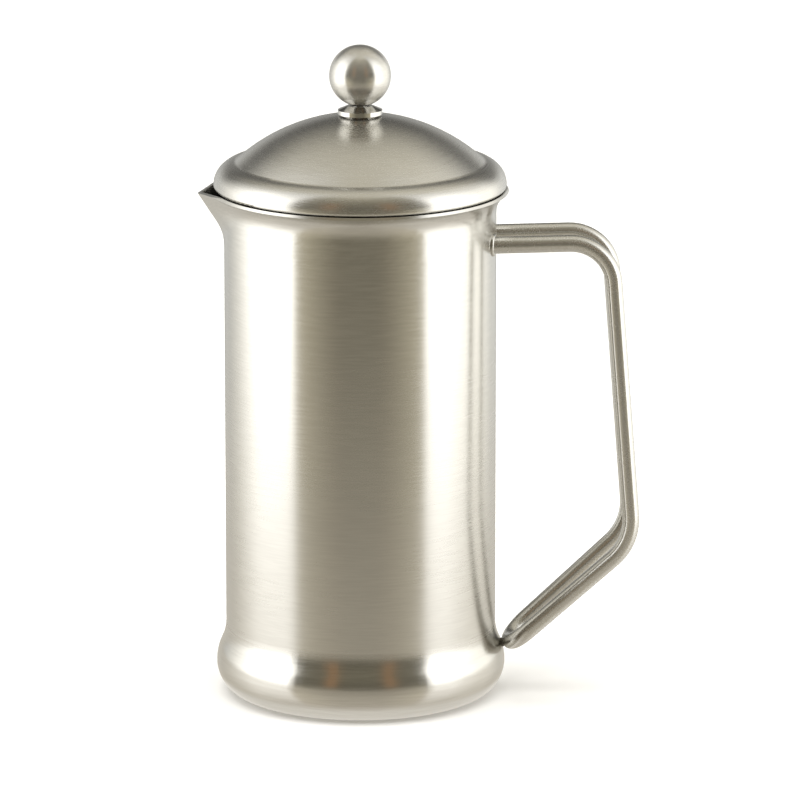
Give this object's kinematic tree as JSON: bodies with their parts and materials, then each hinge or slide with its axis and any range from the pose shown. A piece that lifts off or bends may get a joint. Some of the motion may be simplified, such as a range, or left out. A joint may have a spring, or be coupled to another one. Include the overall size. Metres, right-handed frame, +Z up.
{
  "type": "french press",
  "caption": "Double-walled steel coffee press with domed lid, ball-topped plunger, pinched pouring lip and bent-rod loop handle.",
  "frame": {"origin": "centre of the underside of the base, on the table", "axes": "+Z up along the pot axis, +X towards the handle, -X towards the pouring lip, +Y to the left when seen from the handle side facing the lip"},
  "size_m": [0.1592, 0.1068, 0.2382],
  "materials": {
    "satin_steel": "satin, fine brushing round the body",
    "rod_steel": "satin, brushed along the rod",
    "weld_steel": "as-welded, brushed over",
    "polished_steel": "mirror polished",
    "knob_steel": "satin polished",
    "plain_steel": "plain rolled sheet",
    "mesh_steel": "fine woven wire",
    "silicone": "matt silicone",
    "white_plastic": "smooth, slightly waxy"
  },
  "bodies": {
    "pot": {"outer_shell": "satin_steel", "inner_liner": "satin_steel", "base_plate": "satin_steel", "handle_rod": "rod_steel", "handle_weld_near": "weld_steel", "handle_weld_far": "weld_steel", "handle_weld_nose": "weld_steel"},
    "seal": {"lid_seal_ring": "silicone"},
    "lid": {"lid_shell": "satin_steel", "lid_pan": "satin_steel", "lid_skirt": "satin_steel", "guide_bush": "polished_steel", "bush_washer": "plain_steel", "bush_nut": "plain_steel"},
    "sleeve": {"rod_guide_sleeve": "white_plastic"},
    "plunger": {"knob_ball": "knob_steel", "plunger_rod": "polished_steel", "spiral_plate": "plain_steel", "edge_spring": "plain_steel", "filter_mesh": "mesh_steel", "cross_plate": "plain_steel", "cross_hub": "plain_steel", "rod_nut": "plain_steel"}
  },
  "joints": [
    {"name": "lid_lift", "type": "slide", "parent": "pot", "child": "seal", "axis": [0, 0, 1], "range_m": [0, 0.2]},
    {"name": "lid_turn", "type": "hinge", "parent": "seal", "child": "lid", "pos_m": [0, 0, 0.186], "axis": [0, 0, 1], "continuous": true},
    {"name": "plunger_turn", "type": "hinge", "parent": "lid", "child": "sleeve", "pos_m": [0, 0, 0.21], "axis": [0, 0, 1], "continuous": true},
    {"name": "plunger_slide", "type": "slide", "parent": "sleeve", "child": "plunger", "axis": [0, 0, 1], "range_m": [0, 0.15]}
  ]
}
